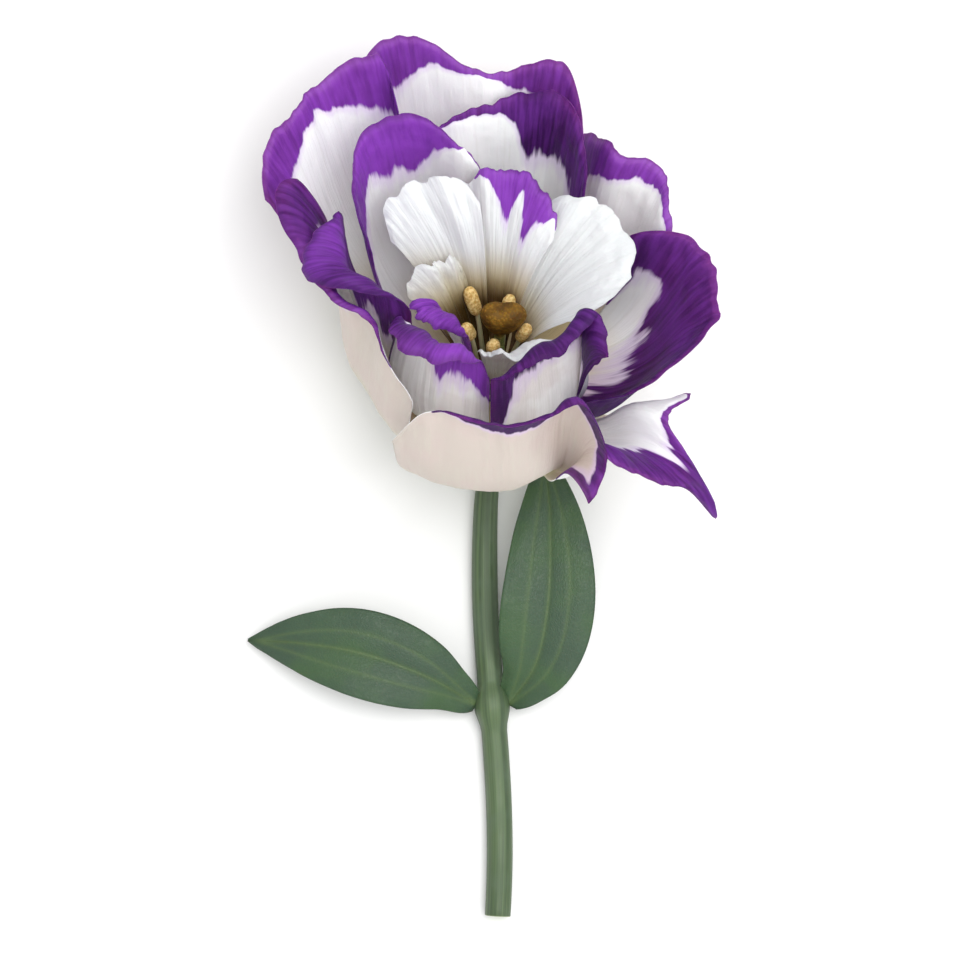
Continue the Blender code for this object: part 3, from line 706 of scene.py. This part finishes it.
def petal_finish(name, ground, inside, throat):
    """A petal's skin: its ground, tinted at the foot or down the throat, with painted shade deep in the inner
    throat, veined, with the violet over it.
    """
    finish = new_material(name, roughness=0.5, specular_ior_level=0.12, subsurface_weight=0.3,
                          subsurface_scale=0.002)
    finish.node_tree.nodes["Principled BSDF"].inputs["Subsurface Radius"].default_value = (1.0, 0.75, 0.85)
    streaks = grain(finish, surface_place(finish, (46.0, 3.5, 1.0)), 1.0, 4.0)
    tongues = grain(finish, surface_place(finish, (15.0, 3.0, 1.0)), 1.0, 3.0)
    patches = grain(finish, surface_place(finish, (5.0, 3.0, 1.0)), 1.0, 2.0)
    clouds = grain(finish, surface_place(finish, (1.0, 1.0, 1.0), "Object"), 120.0, 3.0)
    cells = grain(finish, surface_place(finish, (1.0, 1.0, 1.0), "Object"), 3000.0)
    inked = trait_value(finish, "inked")
    for pattern, share in ((streaks, 0.07), (tongues, 0.13), (patches, 0.32)):
        inked = sums(finish, "ADD", inked, spread(finish, pattern, 0.25, 0.75, -share, share, "LINEAR"))
    depth = trait_value(finish, "depth")

    if throat:
        # The inner throat goes from white through yellow to a dark olive low down, which is partly painted
        # shade of the hollow there.
        base = blend_colours(finish, spread(finish, depth, 0.40, 0.62), THROAT_OLIVE_AND_SHADE, THROAT_YELLOW)
        base = blend_colours(finish, spread(finish, depth, 0.48, 0.76), base, ground)
    elif inside:
        base = blend_colours(finish, spread(finish, depth, 0.0, 0.3), THROAT_YELLOW, ground)
    else:
        base = blend_colours(finish, spread(finish, depth, 0.0, 0.45), FOOT_GREEN, ground)
        base = blend_colours(finish, spread(finish, clouds, 0.42, 0.62, 0.0, 0.4), base, BLUSH)
    vein = spread(finish, streaks, 0.5, 0.68, 0.0, 0.10 if inside else 0.22)
    base = blend_colours(finish, vein, base, VEIN_SHADE)

    tone = sums(finish, "ADD", trait_value(finish, "tone"), spread(finish, streaks, 0.3, 0.7, -0.16, 0.16))
    tone = sums(finish, "ADD", tone, spread(finish, clouds, 0.3, 0.7, -0.15, 0.15))
    edge_shade = spread(finish, trait_value(finish, "inked"), 0.0, 0.12, 0.45, 1.0)
    tone = sums(finish, "MULTIPLY", tone, edge_shade)
    violet = blend_colours(finish, tone, VIOLET_DEEP, VIOLET_BRIGHT)
    reach = 1.0 if inside else 0.95
    halo = spread(finish, inked, reach * 0.95, reach * 1.4, 0.6, 0.0)
    base = blend_colours(finish, halo, base, LILAC)
    base = blend_colours(finish, spread(finish, inked, reach * 0.88, reach * 1.04, 1.0, 0.0), base, violet)
    relief = sums(finish, "MULTIPLY_ADD", cells, 0.2, streaks)
    finish_material(finish, base, relief, 0.16, spread(finish, clouds, 0.3, 0.7, 0.42, 0.58))
    return finish


for ring in WHORLS:
    ring_face = petal_finish(ring + "_petal_face", WHORLS[ring]["face"], True, ring == "inner")
    ring_back = petal_finish(ring + "_petal_back", WHORLS[ring]["back"], False, False)
    for petal_name in [name for name in PETALS if name.startswith(ring)]:
        petal_mesh = grown(petal_name, PETAL_CELLS, lambda u, v, name=petal_name: petal_place(name, u, v),
                           ("inked", "tone", "depth", "flesh"))
        piece = add_piece(petal_mesh, petal_name, "petal_" + ring, ring_back, ring_face)
        thicken(piece, PETAL_THICKNESS)

# ---- Stamens ---------------------------------------------------------------------------------------
# Five stamens round the pistil: a pale slender filament that grows out of the receptacle, and at its tip
# an anther of two pollen sacs with a groove between them, golden and dusty.

FILAMENT = ((1.75, 1.15), (2.1, 3.2), (2.4, 6.0), (2.7, 9.0), (3.1, 12.0))
FILAMENT_RADIUS = 0.32
ANTHER_RADIUS = 1.05
STAMEN_SIDES = 24
FILAMENT_STEPS = 24
ANTHER_STEPS = 24
GROOVE_DEPTH = 0.26  # a share of the anther's radius
FIRST_STAMEN_TURN = 127
FILAMENT_GREEN = (0.62, 0.58, 0.34)
POLLEN_DARK = (0.50, 0.30, 0.075)
POLLEN_LIGHT = (0.80, 0.60, 0.26)
STAMENS = (
    {"spread": 1.15, "lean": 26, "length": 5.0},
    {"spread": 1.1, "lean": 13, "length": 4.0},
    {"spread": 1.3, "lean": 16, "length": 4.0},
    {"spread": 1.0, "lean": 16, "length": 4.0},
    {"spread": 1.0, "lean": 16, "length": 4.0},
)

stamen_finish = new_material("stamen_dust", roughness=0.75, subsurface_weight=0.15, subsurface_scale=0.0008)
pollen = grain(stamen_finish, surface_place(stamen_finish, (1.0, 1.0, 1.0), "Object"), 2600.0, 3.0)
gold = blend_colours(stamen_finish, spread(stamen_finish, pollen, 0.35, 0.65), POLLEN_DARK, POLLEN_LIGHT)
gold = blend_colours(stamen_finish, trait_value(stamen_finish, "pollen"), FILAMENT_GREEN, gold)
finish_material(stamen_finish, gold, pollen, 0.12)

for number, stamen in enumerate(STAMENS):
    turn = radians(FIRST_STAMEN_TURN - 360 / len(STAMENS) * number)
    rings = []
    leaning = (stamen["spread"] - 1) / FILAMENT[-1][1]
    spine = [(radius * (1 + leaning * height), height) for radius, height in FILAMENT]
    for step in range(FILAMENT_STEPS + 1):
        t = step / FILAMENT_STEPS
        radius, height = (through(values, t) for values in zip(*spine))
        rings.append([on_flower(turn, radius, height), None, FILAMENT_RADIUS * (1.25 - 0.25 * t)])
    radial = RIGHT * cos(turn) + FACE_DOWN * sin(turn)
    onward = radial * sin(radians(stamen["lean"])) + AXIS * cos(radians(stamen["lean"]))
    anther_start = len(rings)
    anther_foot = rings[-1][0]
    for step in range(1, ANTHER_STEPS + 1):
        t = step / ANTHER_STEPS
        bulge = ANTHER_RADIUS * max(0.0, 1 - abs(2 * t - 1) ** 3.5) ** 0.5
        rings.append([anther_foot + onward * stamen["length"] * t, None, max(bulge, 0.12)])
    for i, ring in enumerate(rings):
        ring[1] = (rings[min(i + 1, len(rings) - 1)][0] - rings[max(i - 1, 0)][0]).normalized()

    def stamen_surface(turned, i, seed=number):
        if i < anther_start:
            return 1.0, {"pollen": 0.0}
        groove = GROOVE_DEPTH * (1 - abs(cos(turned)) ** 0.6)
        dust = 0.07 * noise.noise(Vector((4 * cos(turned), 4 * sin(turned), 0.5 * i + 9 * seed)))
        return 1.0 - groove + dust, {"pollen": 1.0}

    stamen_mesh = tube(f"stamen_{number + 1}", rings, STAMEN_SIDES, stamen_surface, ("pollen",))
    add_piece(stamen_mesh, f"stamen_{number + 1}", "stamen", stamen_finish)

# ---- Pistil ----------------------------------------------------------------------------------------
# The ovary narrows into a style that ends in a stigma of two broad velvety lobes, ochre and sticky. It is
# one growth, so the turned body and the lobes are melted together.

PISTIL_PROFILE = ((0.0, 1.5), (0.9, 1.5), (1.3, 2.4), (1.45, 4.8), (1.2, 7.5), (0.75, 10.5), (0.7, 14.0),
                  (1.0, 15.6), (1.2, 17.0), (0.0, 17.6))
PISTIL_LEAN = Vector((1.5, -0.9, 17.8))
LOBE_SIZE = Vector((2.4, 1.9, 5.0))
LOBE_SPREAD = 0.95
LOBE_TAPER = 0.35
LOBE_CROWN = 0.5  # above this the lobes' tops are flattened
MELT_SIZE = 0.14
STIGMA_FOOT = 11.0
STIGMA_DARK = (0.10, 0.044, 0.003)
STIGMA_LIGHT = (0.25, 0.125, 0.010)
STIGMA_PIT_SHADE = (0.06, 0.028, 0.003)
OVARY_DARK = (0.22, 0.30, 0.08)
OVARY_LIGHT = (0.36, 0.42, 0.16)

pistil_finish = new_material("pistil_velvet", roughness=0.6, specular_ior_level=0.2, subsurface_weight=0.2,
                             subsurface_scale=0.0008)
beads = add_node(pistil_finish, "TexVoronoi",
                 {"Vector": surface_place(pistil_finish, (1.0, 1.0, 1.0), "Object"), "Scale": 2000.0})
tint = grain(pistil_finish, surface_place(pistil_finish, (1.0, 1.0, 1.0), "Object"), 500.0, 3.0)
stigma = blend_colours(pistil_finish, spread(pistil_finish, tint, 0.35, 0.65), STIGMA_DARK, STIGMA_LIGHT)
ovary = blend_colours(pistil_finish, spread(pistil_finish, tint, 0.3, 0.7), OVARY_DARK, OVARY_LIGHT)
flesh = blend_colours(pistil_finish, trait_value(pistil_finish, "stigma"), ovary, stigma)
relief = spread(pistil_finish, beads, 0.0, 0.6, 1.0, 0.0)
# Darker between the beads: painted shade in the hollows of the bumpy stigma.
pit_shade = spread(pistil_finish, beads, 0.3, 0.7, 0.0, 0.5)
flesh = blend_colours(pistil_finish, pit_shade, flesh, STIGMA_PIT_SHADE)
finish_material(pistil_finish, flesh, relief, 0.16)

bm = bmesh.new()
outline = [bm.verts.new((radius * MM, 0.0, height * MM)) for radius, height in PISTIL_PROFILE]
for lower, upper in zip(outline, outline[1:]):
    bm.edges.new((lower, upper))
bmesh.ops.spin(bm, geom=bm.verts[:] + bm.edges[:], axis=(0, 0, 1), cent=(0, 0, 0), angle=2 * pi, steps=32,
               use_merge=True)
bmesh.ops.remove_doubles(bm, verts=bm.verts, dist=1e-7)
for side in (-1, 1):
    lobe = bmesh.ops.create_uvsphere(bm, u_segments=32, v_segments=20, radius=1.0)["verts"]
    for vertex in lobe:
        taper = 1 - LOBE_TAPER * smooth((0.25 - vertex.co.z) / 1.25)
        spot = vertex.co * LOBE_SIZE + Vector((side * LOBE_SPREAD, 0.0, 0.0))
        top = spot.z if spot.z < LOBE_CROWN else LOBE_CROWN + 0.35 * (spot.z - LOBE_CROWN)
        vertex.co = Vector((spot.x * taper, spot.y * taper, PISTIL_LEAN.z + top)) * MM
bmesh.ops.recalc_face_normals(bm, faces=bm.faces)
pistil_mesh = bpy.data.meshes.new("pistil_body")
bm.to_mesh(pistil_mesh)
bm.free()
melted = bpy.data.objects.new("pistil_body", pistil_mesh)
bpy.context.scene.collection.objects.link(melted)
remesh = melted.modifiers.new("melt", "REMESH")
remesh.mode = "VOXEL"
remesh.voxel_size = MELT_SIZE * MM
soften = melted.modifiers.new("soften", "SMOOTH")
soften.iterations = 6
view = bpy.context.evaluated_depsgraph_get()
pistil_mesh = bpy.data.meshes.new_from_object(melted.evaluated_get(view))
bpy.data.objects.remove(melted)
leaned = Vector((0.0, 0.0, 1.0)).rotation_difference(
    RIGHT * PISTIL_LEAN.x + FACE_DOWN * PISTIL_LEAN.y + AXIS * PISTIL_LEAN.z
)
stigma_trait = pistil_mesh.attributes.new("stigma", "FLOAT", "POINT")
for vertex, trait in zip(pistil_mesh.vertices, stigma_trait.data):
    trait.value = smooth((vertex.co.z / MM - STIGMA_FOOT) / 3.0)
    bead = 0.05 * smooth((vertex.co.z / MM - 15.0) / 1.5)
    bulge = vertex.normal * bead * noise.noise(vertex.co / MM * 2.2) * MM
    vertex.co = leaned @ (vertex.co + bulge) + FLOWER_BASE * MM
pistil_mesh.shade_smooth()
add_piece(pistil_mesh, "pistil", "pistil", pistil_finish)

# ---- Floor, light and camera -----------------------------------------------------------------------
# A plain pale floor under soft studio light. The camera looks straight down on the laid stem.

FLOOR_COLOUR = (0.86, 0.86, 0.86, 1.0)
FLOOR_HALF_SIZE = 1.5
SKY_STRENGTH = 0.88
VIEW_WIDTH = 0.134
LENS = 250.0
SENSOR = 36.0
LIGHTS = {
    "key": {"place": (0.20, 0.12, 0.85), "watts": 5.0, "size": 0.5},
    "fill": {"place": (0.30, -0.55, 0.60), "watts": 1.4, "size": 0.9},
}

floor_mesh = bpy.data.meshes.new("floor")
bm = bmesh.new()
bmesh.ops.create_grid(bm, x_segments=1, y_segments=1, size=FLOOR_HALF_SIZE)
bm.to_mesh(floor_mesh)
bm.free()
floor = bpy.data.objects.new("floor", floor_mesh)
bpy.context.scene.collection.objects.link(floor)
floor_finish = new_material("floor", roughness=0.9)
floor_finish.node_tree.nodes["Principled BSDF"].inputs["Base Color"].default_value = FLOOR_COLOUR
floor_mesh.materials.append(floor_finish)
floor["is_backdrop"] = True

for light_name, light_shape in LIGHTS.items():
    lamp = bpy.data.lights.new(light_name, "AREA")
    lamp.energy = light_shape["watts"]
    lamp.size = light_shape["size"]
    light = bpy.data.objects.new(light_name, lamp)
    light.location = light_shape["place"]
    light.rotation_euler = (-light.location).to_track_quat("-Z", "Y").to_euler()
    bpy.context.scene.collection.objects.link(light)

sky = bpy.data.worlds.new("sky")
sky.use_nodes = True
sky.node_tree.nodes["Background"].inputs["Color"].default_value = (1.0, 1.0, 1.0, 1.0)
sky.node_tree.nodes["Background"].inputs["Strength"].default_value = SKY_STRENGTH
bpy.context.scene.world = sky
bpy.context.scene.view_settings.view_transform = "Standard"

low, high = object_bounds()
camera_data = bpy.data.cameras.new("camera")
camera_data.lens = LENS
camera_data.sensor_width = SENSOR
camera_data.clip_start = 0.01
camera = bpy.data.objects.new("camera", camera_data)
middle = (low + high) / 2
camera.location = (middle.x, middle.y, middle.z + VIEW_WIDTH * LENS / SENSOR)
bpy.context.scene.collection.objects.link(camera)
bpy.context.scene.camera = camera
